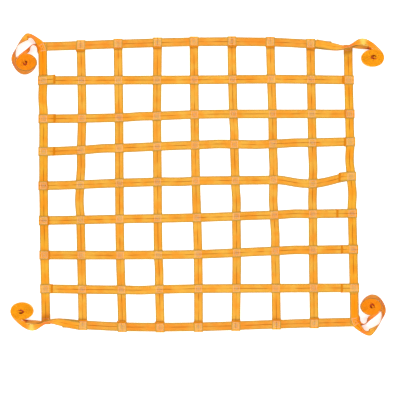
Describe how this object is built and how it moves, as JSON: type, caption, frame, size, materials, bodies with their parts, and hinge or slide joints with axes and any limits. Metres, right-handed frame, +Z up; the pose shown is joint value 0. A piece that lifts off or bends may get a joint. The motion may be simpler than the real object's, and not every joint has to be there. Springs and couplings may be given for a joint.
{
  "type": "cargo lifting net",
  "caption": "Rectangular cargo lifting net of flat orange webbing straps sewn in an open grid, laid flat, with a rolled-up lifting loop at each corner.",
  "frame": {"origin": "middle of the laid net's outline, loops included, on the floor it lies on", "axes": "+Z up from the floor, +X along the cross straps (to the right in the picture), +Y along the upright straps (up in the picture)"},
  "size_m": [2.2906, 1.8468, 0.0535],
  "materials": {
    "upright_webbing": "matte woven",
    "cross_webbing": "matte woven",
    "loop_webbing": "matte woven"
  },
  "bodies": {
    "root": {"upright_strap_1": "upright_webbing", "upright_strap_2": "upright_webbing", "upright_strap_3": "upright_webbing", "upright_strap_4": "upright_webbing", "upright_strap_5": "upright_webbing", "upright_strap_6": "upright_webbing", "upright_strap_7": "upright_webbing", "upright_strap_8": "upright_webbing", "upright_strap_9": "upright_webbing", "cross_strap_1": "cross_webbing", "cross_strap_2": "cross_webbing", "cross_strap_3": "cross_webbing", "cross_strap_4": "cross_webbing", "cross_strap_5": "cross_webbing", "cross_strap_6": "cross_webbing", "cross_strap_7": "cross_webbing", "cross_strap_8": "cross_webbing", "cross_strap_9": "cross_webbing", "lifting_loop_top_left": "loop_webbing", "lifting_loop_top_right": "loop_webbing", "lifting_loop_bottom_right": "loop_webbing", "lifting_loop_bottom_left": "loop_webbing"}
  },
  "joints": []
}
